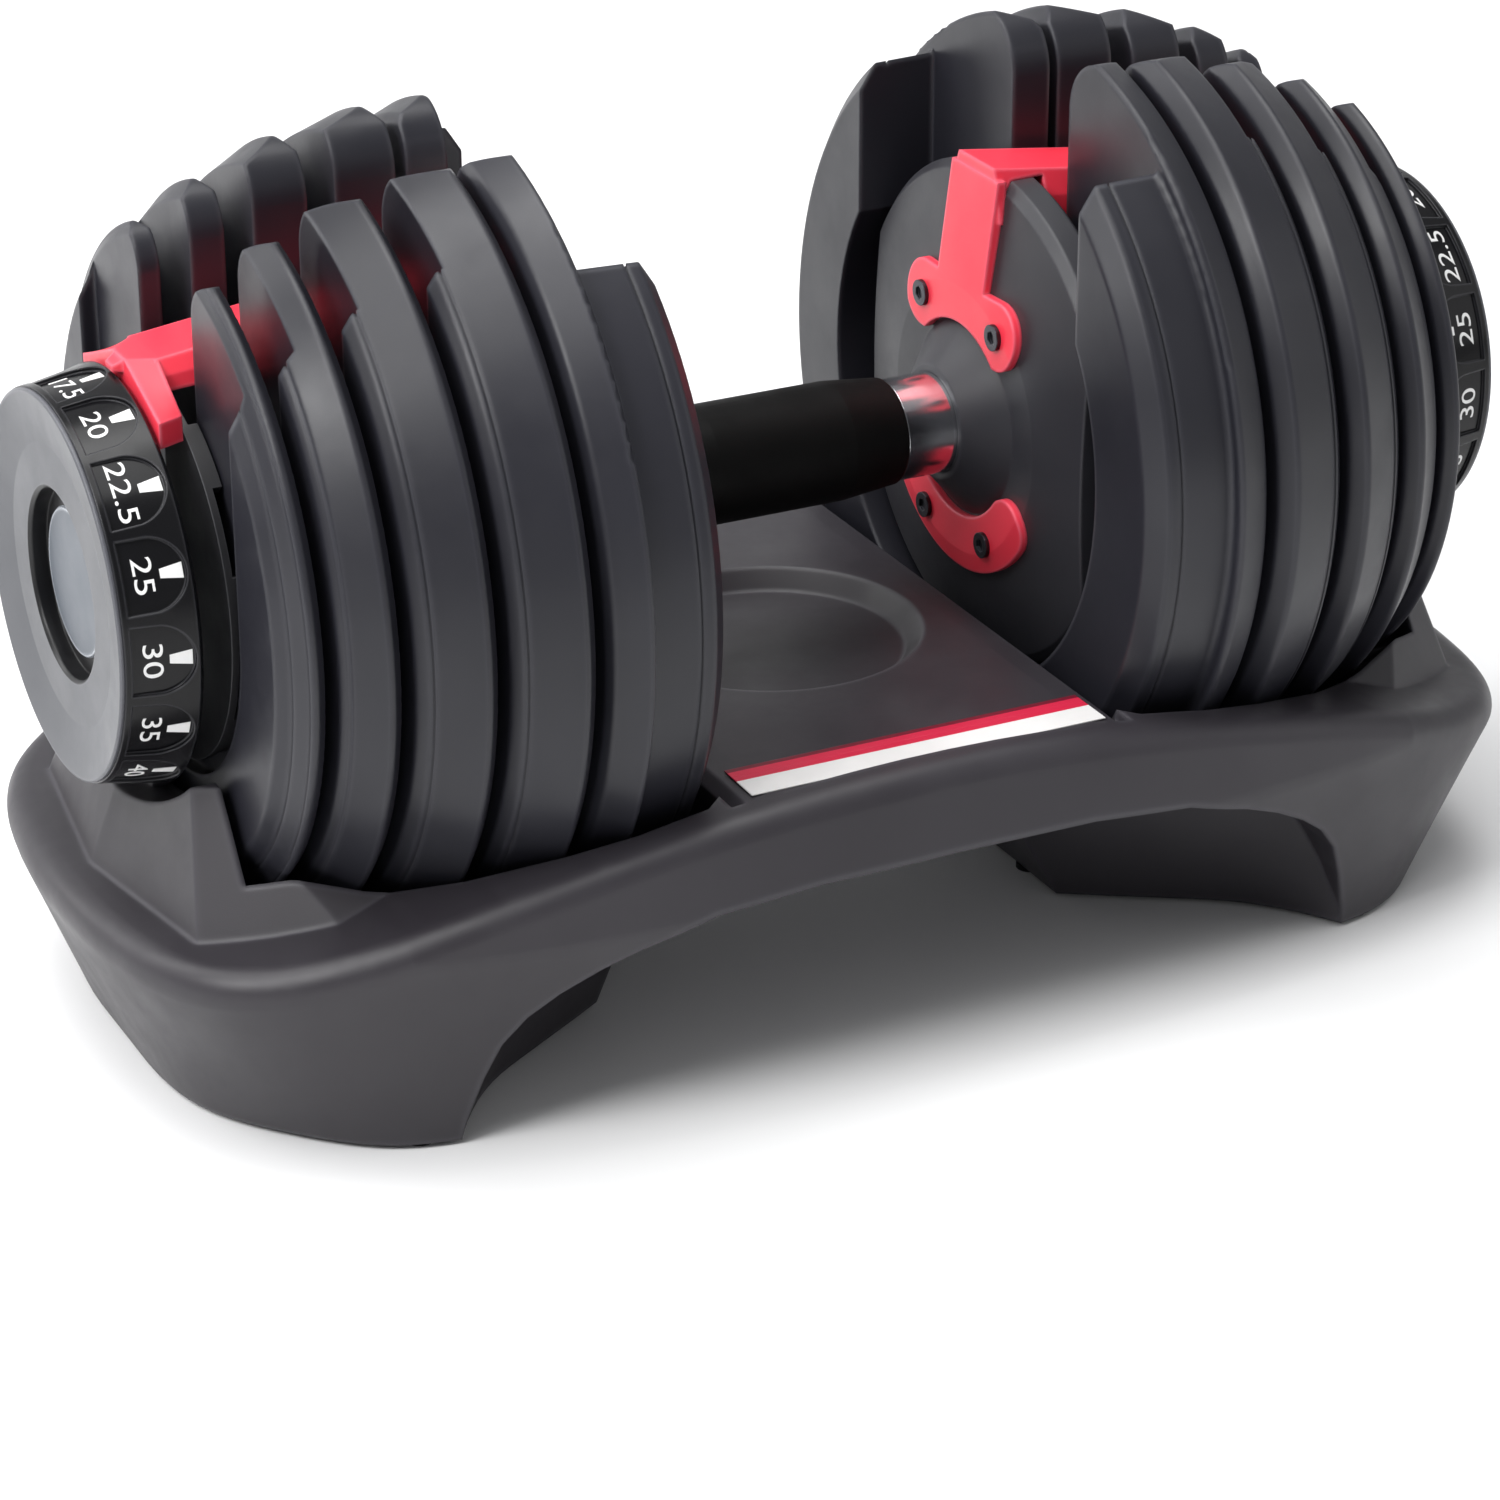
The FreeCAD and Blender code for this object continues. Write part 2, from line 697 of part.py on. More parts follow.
def inner_disc(screws):
    """The disc at the handle's end, with flats that slide between the arms of plate 5."""
    back, radius, bevel = S.disc_back, S.disc_radius, S.disc_bevel
    bore, socket = S.journal_radius + S.journal_clearance, S.collar_radius
    outline = [(S.hub_start, socket), (S.hub_start, S.hub_small_radius),
               (S.disc_face, S.hub_large_radius), (S.disc_face, S.disc_face_radius),
               (S.disc_edge_face, radius - bevel), (S.disc_edge_face + bevel, radius),
               (back - 1.5, radius), (back, radius - 1.5), (back, bore),
               (S.tube_half_length, bore), (S.tube_half_length, socket)]
    blank = turned("inner_disc_blank", outline)
    x = (S.hub_start - 1, back + 1)
    height = (S.axis_height - 75, S.axis_height + 75)
    flats = [box("inner_disc_flat_front", x, (-80, -S.disc_flat_half), height),
             box("inner_disc_flat_back", x, (S.disc_flat_half, 80), height)]
    return cut("inner_disc", blank, *flats, *screws)


def bracket_screw_places():
    """The two upper and two lower screws as (y, z)."""
    upper, lower = S.axis_height + S.lug_screw_rise, S.axis_height - S.kidney_screw_drop
    return [(S.lug_screw_y * -1, upper), (S.lug_screw_y, upper),
            (S.kidney_screw_y * -1, lower), (S.kidney_screw_y, lower)]


def bracket_screws():
    screws = []
    seat = S.disc_face - S.bracket_thickness
    for index, (y, z) in enumerate(bracket_screw_places()):
        name = f"bracket_screw_{index}"
        head = cylinder_x(name + "_head", S.screw_head_radius, (seat - S.screw_head_height, seat), y, z)
        shank = cylinder_x(name + "_shank", S.screw_radius, (seat, S.screw_end), y, z)
        socket = hexagon_x(name + "_socket", S.screw_radius, (seat - 2, seat - 0.4))
        place(socket, seat - 2, y, z)
        screws.append(cut(name, fuse(name + "_blank", head, shank), socket))
    return screws


def bridge_loft():
    """The channel-shaped arm that runs out over the plates and flares at its end."""
    names = ("disc_edge_face", "bracket_thickness", "bridge_end", "bridge_top_start",
             "bridge_top_end", "bridge_bottom_start", "bridge_bottom_end", "bridge_top_half",
             "bridge_bottom_half", "flare_start", "flare_end", "flare_top_half", "flare_half",
             "flare_corner_height", "flare_bottom_height", "pointer_tip", "pointer_half",
             "pointer_bottom")
    v = SimpleNamespace(**{name: getattr(S, name).value for name in names})
    start = v.disc_edge_face - v.bracket_thickness

    def section(x, top_half, top, bottom_half, bottom):
        shoulder = (top + bottom) / 2
        mid_half = (top_half + bottom_half) / 2 + 0.9
        return polygon_wire([(x, -bottom_half, bottom), (x, -mid_half, shoulder),
                             (x, -top_half, top), (x, top_half, top),
                             (x, mid_half, shoulder), (x, bottom_half, bottom)])

    def flare_section(x, top_half, top, corner_half, corner, bottom):
        return polygon_wire([(x, -corner_half, bottom), (x, -corner_half, corner),
                             (x, -top_half, top), (x, top_half, top),
                             (x, corner_half, corner), (x, corner_half, bottom)])

    arm = Part.makeLoft([section(start, v.bridge_top_half, v.bridge_top_start,
                                 v.bridge_bottom_half, v.bridge_bottom_start),
                         section(v.bridge_end, v.bridge_top_half, v.bridge_top_end,
                                 v.bridge_bottom_half, v.bridge_bottom_end)], True, True)
    flare = Part.makeLoft([flare_section(v.flare_start, v.bridge_top_half, v.bridge_top_end + 0.2,
                                         v.flare_half - 3.0, v.flare_corner_height,
                                         v.flare_bottom_height),
                           flare_section(v.flare_end, v.flare_top_half, v.bridge_top_end - 0.6,
                                         v.flare_half, v.flare_corner_height,
                                         v.flare_bottom_height)], True, True)
    lip_top = v.bridge_top_end - 0.6
    tip_top = v.pointer_bottom + 1.6
    pointer = Part.makeLoft([
        polygon_wire([(v.flare_end - 1, -v.flare_top_half, v.pointer_bottom),
                      (v.flare_end - 1, -v.flare_top_half, lip_top),
                      (v.flare_end - 1, v.flare_top_half, lip_top),
                      (v.flare_end - 1, v.flare_top_half, v.pointer_bottom)]),
        polygon_wire([(v.pointer_tip, -v.pointer_half, v.pointer_bottom),
                      (v.pointer_tip, -v.pointer_half, tip_top),
                      (v.pointer_tip, v.pointer_half, tip_top),
                      (v.pointer_tip, v.pointer_half, v.pointer_bottom)])], True, True)
    return feature("bridge_arm", arm.fuse([flare, pointer]).removeSplitter())


def disc_relief():
    """The inner disc's outer form, which the arm is cut back to."""
    edge, radius, bevel = S.disc_edge_face, S.disc_radius, S.disc_bevel
    end = S.disc_back + 1.5
    return turned("disc_relief", [(S.disc_face, 0), (S.disc_face, S.disc_face_radius),
                                  (edge, radius - bevel), (edge + bevel, radius), (end, radius),
                                  (end, 0)])


def bridge(screws, bearing):
    """The arm in one piece with the strap that screws to the inner disc."""
    x = (S.disc_face - 5, S.disc_edge_face + 1)
    lug_z = S.axis_height + S.lug_screw_rise
    strap = box("strap", x, (-S.strap_half, S.strap_half), (lug_z, S.bridge_top_start - 3))
    lugs = [cylinder_x(f"lug_{side}", S.lug_radius, x, S.lug_screw_y * sign, lug_z)
            for side, sign in (("front", -1), ("back", 1))]
    web = box("lug_web", x, (-S.lug_screw_y, S.lug_screw_y),
              (lug_z - S.lug_radius, lug_z + S.lug_radius))
    plan = fuse("strap_plan", strap, web, *lugs)
    plate = common("strap_plate", plan, face_shell("strap_layer", S.strap_layer_radius))
    relief = disc_relief()
    arm = cut("bridge_arm_relieved", bridge_loft(), relief)
    return cut("bridge", fuse("bridge_blank", arm, plate), *screws, bearing)


def lower_bracket(screws):
    """The kidney-shaped plate below the hub."""
    x = (S.disc_face - 5, S.disc_face + 5)
    half = S.kidney_half_angle
    sector = cylinder_x("kidney_sector", S.kidney_outer_radius, x, 0, None, half * 2, -half.value)
    ends = []
    middle = (S.kidney_outer_radius + S.hub_clear_radius) * 0.5
    thick = (S.kidney_outer_radius - S.hub_clear_radius) * 0.5
    for side, sign in (("front", -1), ("back", 1)):
        angle = math.radians(half.value)
        ends.append(cylinder_x(f"kidney_end_{side}", thick, x, middle * (sign * math.sin(angle)),
                               S.axis_height - middle * math.cos(angle)))
    plan = fuse("kidney_plan", sector, *ends)
    plate = common("kidney_plate", plan, face_shell("kidney_layer", S.kidney_layer_radius))
    return cut("lower_bracket", plate, *screws)


def bearing_plate(screws):
    """The small plate under the bridge's end that carries the shaft's outer journal."""
    half, x = S.bearing_half_width, (S.bearing_start, S.bearing_end)
    blank = box("bearing_blank", x, (-half, half), (S.bearing_bottom, S.bearing_top))
    bore = cylinder_x("bearing_bore", S.journal_radius + S.journal_clearance, (x[0] - 1, x[1] + 1))
    middle = (x[0] + x[1]) * 0.5
    pin_bore = cylinder_z("lock_bore", S.lock_pin_radius + S.lock_clearance, middle, 0,
                          (S.bearing_bottom - 1, S.lock_bore_top))
    detent = cylinder_x("detent_bore", S.detent_nose_radius, (x[0] + 1, x[1] + 1), 0,
                        S.axis_height + S.detent_circle_radius)
    return cut("bearing_plate", blank, bore, pin_bore, detent, *screws)


def bearing_screws():
    screws = []
    for index, sign in enumerate((-1, 1)):
        name = f"bearing_screw_{index}"
        y, z, start = S.bearing_screw_y * sign, S.bearing_screw_height, S.flare_start
        head = cylinder_x(name + "_head", S.bearing_head_radius, (start, start + 1.2), y, z)
        shank = cylinder_x(name + "_shank", S.bearing_screw_radius, (start, S.bearing_end), y, z)
        screws.append(fuse(name, head, shank))
    return screws


# ------------------------------------------------------------------ lock pins
def lock_pin():
    """The pin that the cradle pushes up when the handle is put away."""
    middle = (S.bearing_start + S.bearing_end) * 0.5
    bottom = S.lock_pin_bottom
    shank = cylinder_z("lock_pin_shank", S.lock_pin_radius, middle, 0,
                       (bottom + 0.6, bottom + S.lock_pin_length))
    nose = cylinder_z("lock_pin_nose", S.lock_pin_radius - 0.4, middle, 0, (bottom, bottom + 0.6))
    return fuse("lock_pin", shank, nose)


def lock_spring():
    """The spring between the pin and the top of its bore."""
    start = S.lock_pin_bottom.value + S.lock_pin_length.value
    length = S.lock_bore_top.value - start
    wire = 0.22
    middle = (S.bearing_start.value + S.bearing_end.value) / 2
    radius = S.lock_pin_radius.value - wire - 0.1
    spring = coil_spring(radius, wire, (middle, 0, start + wire), (0, 0, 1), length - 2 * wire, 8)
    return feature("lock_spring", spring)


def detent_pin():
    """The sprung pin whose nose finds the dimples in the dial's web."""
    z = S.axis_height + S.detent_circle_radius
    body = cylinder_x("detent_pin_body", S.detent_nose_radius,
                      (S.bearing_start + 1, S.ring_back - 0.9), 0, z)
    nose = cylinder_x("detent_pin_nose", S.detent_nose_radius - 0.6,
                      (S.ring_back - 0.9, S.ring_back - 0.3), 0, z)
    return fuse("detent_pin", body, nose)


# ------------------------------------------------------------------ cradle
def smooth_outline(corners, z):
    """A smooth closed outline from the corners of its front right quarter."""
    right = corners + [(x, -y) for x, y in reversed(corners) if y != 0]
    left = [(-x, y) for x, y in reversed(right) if x != 0]
    curve = Part.BSplineCurve()
    curve.interpolate([Vector(x, y, z) for x, y in right + left], PeriodicFlag=True)
    return Part.Wire(curve.toShape())


def prism_along_y(points, half):
    """The outline's (x, z) corners drawn out both ways from the middle."""
    wire = polygon_wire([(x, -half, z) for x, z in points])
    return Part.Face(wire).extrude(Vector(0, 2 * half, 0))


def mirror_points(points):
    return points + [(-x, z) for x, z in reversed(points) if x != 0]


def rim_limit():
    """Everything below the cradle's rim, which arches down from the middle to the ends."""
    crest = [(0, 84), (60, 80.7), (110, 72.7), (145, 64), (172, 56.5), (190, 53.5), (230, 51.5)]
    curve = Part.BSplineCurve()
    points = [(-x, z) for x, z in reversed(crest[1:])] + crest
    curve.interpolate([Vector(x, -130, z) for x, z in points])
    edge = curve.toShape()
    floor = Part.makePolygon([Vector(230, -130, 51.5), Vector(230, -130, -1),
                              Vector(-230, -130, -1), Vector(-230, -130, 51.5)])
    return Part.Face(Part.Wire([edge] + floor.Edges)).extrude(Vector(0, 260, 0))


def end_block(sign):
    """The raised wall at one end, which tapers up to a narrow top under the dial."""
    low = [(112, -96), (148, -90), (188, -60), (197, 0)]
    high = [(173, -43), (174, -42.5), (180, -39), (181, 0)]
    sections = []
    for front, z in ((low, 48), (high, 88)):
        outline = front + [(x, -y) for x, y in reversed(front[:-1])]
        sections.append(polygon_wire([(x * sign, y, z) for x, y in outline]))
    return Part.makeLoft(sections, True, True)


def rounded_rim(form, radius):
    """The form with the edge round its crest rounded over."""
    crest = [edge for edge in form.Edges
             if edge.BoundBox.ZMin > 45 and edge.BoundBox.YLength + edge.BoundBox.XLength > 20]
    return form.makeFillet(radius, crest)


def outer_form():
    """The cradle's outer walls: widest a little below the rim, drawn in to the feet."""
    foot = [(0, -93), (66, -93), (124, -92.5), (148, -87), (168.5, -70), (183.5, -49), (189, 0)]
    widest = [(0, -113), (66, -111.5), (125, -105), (163, -95), (195, -76), (208, -40), (212, 0)]
    top = [(0, -105), (66, -104), (125, -99), (160, -90), (192, -72), (205, -38), (209, 0)]
    sections = [smooth_outline(foot, S.foot_line.value), smooth_outline(widest, 57),
                smooth_outline(top, 90)]
    return Part.makeLoft(sections, True, True)


def arch_plan(half, wall, z):
    """The front half of the arch's plan: straight sides that curve out to the feet."""
    straight = [Vector(half, 0, z), Vector(half, -wall[0][1], z)]
    curve = Part.BSplineCurve()
    curve.interpolate([straight[1]] + [Vector(x, -y, z) for x, y in wall[1:]])
    right = [Part.LineSegment(*straight).toShape(), curve.toShape()]
    end = wall[-1]
    corners = [Vector(end[0], -end[1], z), Vector(end[0], -130, z), Vector(-end[0], -130, z),
               Vector(-end[0], -end[1], z)]
    front = Part.makePolygon(corners).Edges
    left = [edge.mirror(Vector(0, 0, 0), Vector(1, 0, 0)) for edge in reversed(right)]
    middle = Part.LineSegment(Vector(-half, 0, z), Vector(half, 0, z)).toShape()
    return Part.Wire(Part.sortEdges(right + front + left + [middle])[0])


def arch_opening():
    """The open arch below the deck, which narrows towards the middle of the cradle."""
    arch = [(0, 62), (40, 61.5), (69, 59), (88, 53.5), (99, 49), (109, 43.5), (117, 37.5),
            (123, 30), (127, 20), (130.5, 8), (132.3, -2)]
    opening = prism_along_y(mirror_points(arch), 130)
    foot = [(72, 41), (87, 50.5), (99, 58), (111, 66), (122, 77), (132, 92), (142, 112)]
    crown = [(36, 33), (58, 46), (78, 55), (97, 64), (115, 76), (129, 92), (140, 112)]
    front = Part.makeLoft([arch_plan(72, foot, -1), arch_plan(36, crown, 66)], True, True)
    back = front.mirror(Vector(0, 0, 0), Vector(0, 1, 0))
    return opening.common(front.fuse(back))


def foot_pocket(sign):
    """The hollow under one foot."""
    corners = [(78, -38), (134, -78), (148, -74), (162, -62), (174, -40), (178, 0)]
    outline = corners + [(x, -y) for x, y in reversed(corners[:-1])]
    wire = polygon_wire([(x * sign, y, -1) for x, y in outline])
    return Part.Face(wire).extrude(Vector(0, 0, S.foot_hollow.value))


def plate_space(name, clearance):
    """The room that the plates take up, as one turned form with this clearance."""
    inner = S.trough_start - clearance * 0.3
    edge = plate_size(5, "edge_in") + clearance
    outline = [(inner, 0), (inner, edge + 4), (S.trough_start + 6, edge + 9),
               (S.horn_face, plate_size(5, "rim") + clearance)]
    for number in (4, 3, 2, 1):
        tip = plate_size(number, "inner_face") + S.rim_slope
        outline.append((tip, plate_size(number, "rim") + clearance))
    end = S.wall_start
    outline += [(end, plate_size(1, "rim") - 2.5 + clearance), (end, 0)]
    return turned(name, outline)


def deck_bevel(sign):
    """The slope where the deck meets a trough."""
    start, height = S.deck_half_length.value, S.deck_height.value
    corners = [(start, height), (start + 5, height - 5), (start + 5, height + 9), (start, height + 9)]
    return prism_along_y([(x * sign, z) for x, z in corners], S.deck_half_width.value)


def tray():
    rim = rounded_rim(outer_form().common(rim_limit()), S.rim_radius.value)
    form = rim.fuse([end_block(1), end_block(-1)])
    form = feature("tray_form", form)
    under = feature("tray_arch", arch_opening())
    pockets = [feature(f"tray_pocket_{i}", foot_pocket(sign)) for i, sign in enumerate((1, -1))]
    bevels = [feature(f"tray_bevel_{i}", deck_bevel(sign)) for i, sign in enumerate((1, -1))]
    guard = plate_space("tray_guard", S.trough_clearance + S.trough_wall)
    arch = cut("tray_under", under, guard, mirrored("tray_guard_left", guard))
    trough = plate_space("tray_trough", S.trough_clearance)
    deck = box("tray_deck", (-S.trough_start, S.trough_start),
               (-S.deck_half_width, S.deck_half_width), (S.deck_height, S.deck_height + 15))
    dish = doc.addObject("Part::Cone", "tray_dish")
    bind(dish, {"Radius1": S.dish_floor_radius, "Radius2": S.dish_radius, "Height": S.dish_depth})
    place(dish, 0, -3, S.deck_height - S.dish_depth)
    saddle = u_slot("tray_saddle", S.dial_clear_radius, (S.wall_start, S.wall_start + 50))
    tools = [arch, trough, mirrored("tray_trough_left", trough), deck, dish, saddle,
             mirrored("tray_saddle_left", saddle), *pockets, *bevels]
    shell = cut("tray_shell", form, *tools)
    half, top = S.lock_post_half, S.lock_pin_bottom - S.lock_post_gap
    post = box("tray_post", (S.wall_start, S.wall_start + 5), (-half, half),
               (S.axis_height - S.dial_clear_radius - 3, top))
    return fuse("tray", shell, post, mirrored("tray_post_left", post))


def rubber_feet():
    feet = []
    for sign_x in (1, -1):
        for index, (x, y) in enumerate(((74, 20), (74, -20), (140, 84), (140, -84), (183, 16),
                                        (183, -16))):
            name = f"foot_{index}_{'right' if sign_x > 0 else 'left'}"
            feet.append(cylinder_z(name, S.pad_radius, x * sign_x, y, (0, S.foot_line)))
    return group("rubber_feet", *feet)


def deck_label():
    """Two plain strips on the deck."""
    z = (S.deck_height, S.deck_height + S.label_thickness)
    x = (-S.label_half_length, S.label_half_length)
    red = box("label_red", x, (-S.label_split, -S.label_back), z)
    white = box("label_white", x, (-S.label_front, -S.label_split), z)
    return group("deck_label", red, white)


# ------------------------------------------------------------------ the assembly
def build():
    """Every node of the assembly, by name."""
    nodes = {"tray": tray(), "rubber_feet": rubber_feet(), "deck_label": deck_label(),
             "handle_tube": handle_tube(), "grip": grip()}
    screws = bracket_screws()
    end_screws = bearing_screws()
    bearing = bearing_plate(end_screws)
    right = {"inner_disc": inner_disc(screws), "bridge": bridge(screws + end_screws, bearing),
             "lower_bracket": lower_bracket(screws), "bearing_plate": bearing,
             "dial_ring": dial_ring(), "dial_cap": dial_cap(), "dial_button": dial_button(),
             "selector_shaft": selector_shaft(), "shaft_nut": shaft_nut(), "lock_pin": lock_pin()}
    for number in PLATES:
        core = plate_core(number)
        right[f"plate_{number}_core"] = core
        right[f"plate_{number}_shell"] = plate_shell(number, core)
        right[f"selector_disc_{number}"] = selector_disc(number)
    for name, piece in right.items():
        nodes["right_" + name] = piece
        nodes["left_" + name] = mirrored("left_" + name, piece)
    pairs = {"bracket_screws": screws, "bearing_screws": end_screws,
             "detent_pins": [detent_pin()], "lock_springs": [lock_spring()]}
    for name, pieces in pairs.items():
        others = [mirrored(piece.Name + "_left", piece) for piece in pieces]
        nodes[name] = group(name, *pieces, *others)
    return nodes


def check_document():
    for item in doc.Objects:
        if "Invalid" in item.State or "Error" in item.State:
            raise RuntimeError(f"{item.Name} did not compute: {item.State}")


def export(nodes):
    os.makedirs("parts", exist_ok=True)
    for name, node in nodes.items():
        if node.Shape.isNull() or not node.Shape.isValid():
            raise RuntimeError(f"{name} has no valid shape")
        node.Label = name
        node.Shape.exportStep(f"parts/{name}.step")


all_nodes = build()
doc.recompute()
check_document()
export(all_nodes)
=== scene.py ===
"""Looks for the adjustable dumbbell in its cradle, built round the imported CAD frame."""
import math
import bpy
import bmesh
from mathutils import Matrix, Vector


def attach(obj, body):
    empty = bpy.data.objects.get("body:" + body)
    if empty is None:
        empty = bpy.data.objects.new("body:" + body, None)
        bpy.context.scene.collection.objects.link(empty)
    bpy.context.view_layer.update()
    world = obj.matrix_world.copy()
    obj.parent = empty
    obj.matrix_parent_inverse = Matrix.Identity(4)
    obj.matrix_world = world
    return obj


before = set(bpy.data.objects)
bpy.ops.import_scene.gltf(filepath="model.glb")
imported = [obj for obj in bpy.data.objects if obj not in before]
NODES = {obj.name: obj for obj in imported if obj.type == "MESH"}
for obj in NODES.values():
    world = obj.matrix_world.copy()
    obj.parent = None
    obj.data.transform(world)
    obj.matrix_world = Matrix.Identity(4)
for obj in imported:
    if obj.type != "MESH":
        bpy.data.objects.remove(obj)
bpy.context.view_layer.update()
SIDES = (("left", -1), ("right", 1))
PLATES = (1, 2, 3, 4, 5)
MM = 0.001

AXIS_HEIGHT = 131.6 * MM
SETTINGS = ("5", "7.5", "10", "12.5", "15", "17.5", "20", "22.5", "25", "30", "35", "40",
            "45", "50", "52.5")
REST_SETTING = SETTINGS.index("17.5")
SETTING_PITCH = 360 / len(SETTINGS)
FIRST_NUMBER_ANGLE = -4.0

# The floor of the number pockets is a cone: (distance from the middle, radius) at each end.
POCKET_FLOOR_BACK = (179.5 * MM, 52.9 * MM)
POCKET_FLOOR_FRONT = (200.8 * MM, 49.6 * MM)
NUMBER_HEIGHT = 5.0 * MM
NUMBER_STRETCH = 1.4
NUMBER_CENTRE = 192.0 * MM
FONT_SIZE_PER_HEIGHT = 1.42
FONT_RESOLUTION = 6
WEDGE_CENTRE = 184.9 * MM
WEDGE_HALF_LENGTH = 2.8 * MM
WEDGE_HALF_WIDTHS = (1.15 * MM, 2.0 * MM)
STRIP_WIDTH = 0.8 * MM
PAINT_HEIGHT = 0.1 * MM

# Radius from the handle's axis inside which the cap is painted near black, as painted shade in
# the pit.
PIT_SHADE_RADIUS = 25.5 * MM
RED_BAND_START = -86.7 * MM
RED_BAND_WIDTH = 5.4 * MM
BEVEL_SAMPLES = 6

FLOOR_REACH = 60.0
SWEEP_START = 2.0
SWEEP_RADIUS = 0.8
SWEEP_STEPS = 12
BACKDROP_TOP = 4.0
LIGHT_TARGET = (0, 0, 0.1)
# Area lights: name, place, (width, height) and power in watts.
AREA_LIGHTS = (("key", (-1.75, -0.45, 1.55), (0.9, 0.9), 31),
               ("fill", (1.7, -0.9, 0.9), (1.2, 1.2), 3),
               ("top", (0.0, 0.45, 2.1), (1.6, 1.0), 18),
               ("rim", (-1.3, 1.2, 1.1), (0.8, 1.4), 12))
SKY_DIRECTION = (0.25, 0.05, -1.0)
SKY_STRENGTH = 1.7
SKY_SPREAD = math.radians(50)
WORLD_COLOUR = (0.97, 0.98, 1.0)
WORLD_STRENGTH = 0.30

CAMERA_TARGET = (-4.45 * MM, 0, 44.58 * MM)
CAMERA_DISTANCE = 1.28535
CAMERA_AZIMUTH = math.radians(-26.5)
CAMERA_ELEVATION = math.radians(25.28)
CAMERA_ROLL = math.radians(0.13)
CAMERA_LENS = 111.9
CAMERA_SENSOR = 36


# ------------------------------------------------------------------ materials
class Nodes:
    """A material's node tree with short calls to add and join nodes."""

    def __init__(self, name):
        self.material = bpy.data.materials.new(name)
        self.material.use_nodes = True
        self.tree = self.material.node_tree
        self.shader = self.tree.nodes["Principled BSDF"]
        coords = self.add("ShaderNodeTexCoord")
        self.place = coords.outputs["Object"]

    def add(self, kind, **values):
        node = self.tree.nodes.new(kind)
        for key, value in values.items():
            if key in node.inputs:
                node.inputs[key].default_value = value
            else:
                setattr(node, key, value)
        return node

    def join(self, source, target):
        self.tree.links.new(source, target)

    def noise(self, scale, detail=4.0, rough=0.55, stretch=None):
        """A 0 to 1 noise over the object, with this many cells per metre."""
        node = self.add("ShaderNodeTexNoise", Scale=scale, Detail=detail, Roughness=rough)
        if stretch is None:
            self.join(self.place, node.inputs["Vector"])
        else:
            mapping = self.add("ShaderNodeMapping", Scale=stretch)
            self.join(self.place, mapping.inputs["Vector"])
            self.join(mapping.outputs["Vector"], node.inputs["Vector"])
        return node.outputs["Fac"]

    def ramp(self, source, low, high, at=(0.35, 0.65)):
        """Turns a 0 to 1 value into one between two colours or greys."""
        node = self.add("ShaderNodeValToRGB")
        for element, place, value in zip(node.color_ramp.elements, at, (low, high)):
            element.position = place
            if isinstance(value, (int, float)):
                value = (value, value, value)
            element.color = (*value, 1)
        self.join(source, node.inputs["Fac"])
        return node.outputs["Color"]

    def mix(self, factor, first, second):
        node = self.add("ShaderNodeMix", data_type="RGBA")
        for socket, value in ((node.inputs[0], factor), (node.inputs[6], first),
                              (node.inputs[7], second)):
            if hasattr(value, "node"):
                self.join(value, socket)
            elif socket.type == "RGBA":
                socket.default_value = (*value, 1)
            else:
                socket.default_value = value
        return node.outputs[2]

    def rounded_normal(self, radius):
        bevel = self.add("ShaderNodeBevel", Radius=radius)
        bevel.samples = BEVEL_SAMPLES
        return bevel.outputs["Normal"]

    def bump(self, heights, rounding=None):
        """Joins (height, strength, distance) bumps in turn, over rounded edges."""
        normal = None
        if rounding:
            normal = self.rounded_normal(rounding)
        for height, strength, distance in heights:
            node = self.add("ShaderNodeBump", Strength=strength, Distance=distance)
            self.join(height, node.inputs["Height"])
            if normal is not None:
                self.join(normal, node.inputs["Normal"])
            normal = node.outputs["Normal"]
        self.join(normal, self.shader.inputs["Normal"])

    def edges(self, radius):
        """1 on edges and 0 on open faces, from how much a rounded normal would turn."""
        geometry = self.add("ShaderNodeNewGeometry")
        dot = self.add("ShaderNodeVectorMath", operation="DOT_PRODUCT")
        self.join(self.rounded_normal(radius), dot.inputs[0])
        self.join(geometry.outputs["Normal"], dot.inputs[1])
        return self.ramp(dot.outputs["Value"], 1.0, 0.0, at=(0.9, 0.995))

    def compare(self, value, operation, limit):
        """1 where the value is less or greater than the limit, and 0 elsewhere."""
        node = self.add("ShaderNodeMath", operation=operation)
        self.join(value, node.inputs[0])
        node.inputs[1].default_value = limit
        return node.outputs[0]

    def near_axis(self, reach):
        """1 on points closer to the handle's axis than this, and 0 farther out."""
        offset = self.add("ShaderNodeMapping", Location=(0, 0, -AXIS_HEIGHT), Scale=(0, 1, 1))
        self.join(self.place, offset.inputs["Vector"])
        length = self.add("ShaderNodeVectorMath", operation="LENGTH")
        self.join(offset.outputs["Vector"], length.inputs[0])
        return self.compare(length.outputs["Value"], "LESS_THAN", reach)

    def set(self, **values):
        """Gives the shader's sockets these values, or joins them to other sockets."""
        for name, value in values.items():
            socket = self.shader.inputs[name.replace("_", " ")]
            if hasattr(value, "node"):
                self.join(value, socket)
            elif socket.type == "RGBA":
                socket.default_value = (*value, 1)
            else:
                socket.default_value = value
        return self.material


